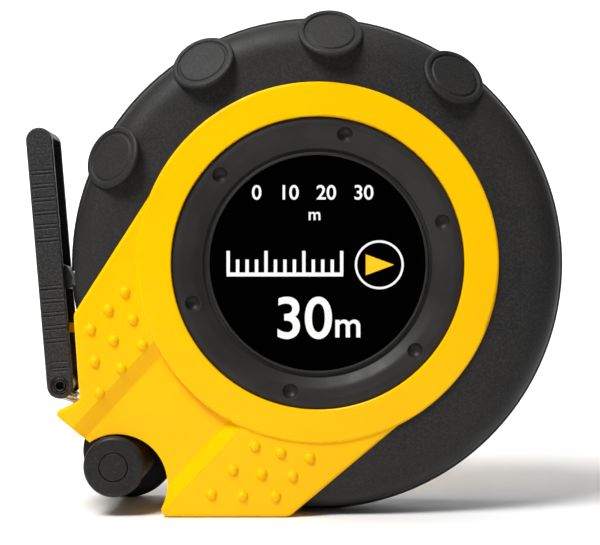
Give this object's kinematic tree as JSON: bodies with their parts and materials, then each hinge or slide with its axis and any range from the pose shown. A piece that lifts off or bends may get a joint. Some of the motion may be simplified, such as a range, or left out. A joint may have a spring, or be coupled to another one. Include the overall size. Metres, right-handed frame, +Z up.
{
  "type": "surveyor tape reel",
  "caption": "Closed-case long steel tape measure: round case with rubber grip, mouth block, fold-out pull hook and stowed winding crank.",
  "frame": {"origin": "bottom centre of the whole object as it stands, crank and hook stowed", "axes": "+Z up, +Y from the labelled front to the crank side, +X to the right seen from the front"},
  "size_m": [0.178, 0.0528, 0.1648],
  "materials": {
    "yellow_abs": "moulded satin gloss",
    "rubber": "matt soft-touch",
    "ring_plastic": "satin",
    "label_black": "printed film",
    "hook_plastic": "fine spark-eroded grain",
    "crank_plastic": "satin, faint turning rings",
    "claw_plastic": "satin",
    "drum_plastic": "moulded",
    "steel": "zinc plated",
    "bronze": "sintered",
    "tape_paint": "nylon coated",
    "felt": "felt"
  },
  "bodies": {
    "case": {"front_shell": "yellow_abs", "rear_shell": "yellow_abs", "front_rubber_cover": "rubber", "rear_rubber_cover": "rubber", "rim_band": "rubber", "grip_pads_front": "rubber", "grip_pads_rear": "rubber", "case_screws": "steel", "axle_bush": "bronze", "mouth_wipers": "felt"},
    "reel": {"reel_drum": "drum_plastic", "reel_front_flange": "drum_plastic", "reel_rear_flange": "drum_plastic", "finger_ring": "ring_plastic", "label_bezel": "ring_plastic", "label_disc": "label_black", "tape_coil": "tape_paint", "reel_bush": "bronze", "clutch_ring": "steel"},
    "tape_end": {"tape_blade": "tape_paint", "end_bracket": "steel", "bracket_rivets": "steel", "hook_rivet": "steel"},
    "pull_hook": {"pull_hook": "hook_plastic", "hook_claw": "claw_plastic"},
    "crank_hub": {"crank_axle": "steel", "clutch_dog": "steel", "crank_hub": "crank_plastic", "hub_screw": "steel", "hinge_pin": "steel"},
    "crank_arm": {"crank_arm": "crank_plastic", "knob_spindle": "steel", "knob_washer": "steel"},
    "knob": {"crank_knob": "crank_plastic", "knob_cap": "crank_plastic"}
  },
  "joints": [
    {"name": "reel_spin", "type": "hinge", "parent": "case", "child": "reel", "pos_m": [0.00701, -0.00237, 0.082], "axis": [0, 1, 0], "range_deg": [0, 53]},
    {"name": "tape_pull", "type": "slide", "parent": "case", "child": "tape_end", "axis": [-0.9659, 0, 0.2588], "range_m": [0, 0.06]},
    {"name": "hook_swing", "type": "hinge", "parent": "tape_end", "child": "pull_hook", "pos_m": [-0.07779, -0.00237, 0.0416], "axis": [0, -1, 0], "range_deg": [0, 110]},
    {"name": "crank_turn", "type": "hinge", "parent": "case", "child": "crank_hub", "pos_m": [0.00701, 0.01763, 0.082], "axis": [0, -1, 0], "range_deg": [0, 4.5]},
    {"name": "crank_fold", "type": "hinge", "parent": "crank_hub", "child": "crank_arm", "pos_m": [-0.00713, 0.02283, 0.06786], "axis": [0.7071, 0, -0.7071], "range_deg": [0, 180]},
    {"name": "knob_spin", "type": "hinge", "parent": "crank_arm", "child": "knob", "pos_m": [-0.05868, -0.00237, 0.01631], "axis": [0, 1, 0], "continuous": true}
  ],
  "couplings": [
    {"joint": "tape_pull", "follows": "reel_spin", "m_per_rad": 0.06435}
  ]
}
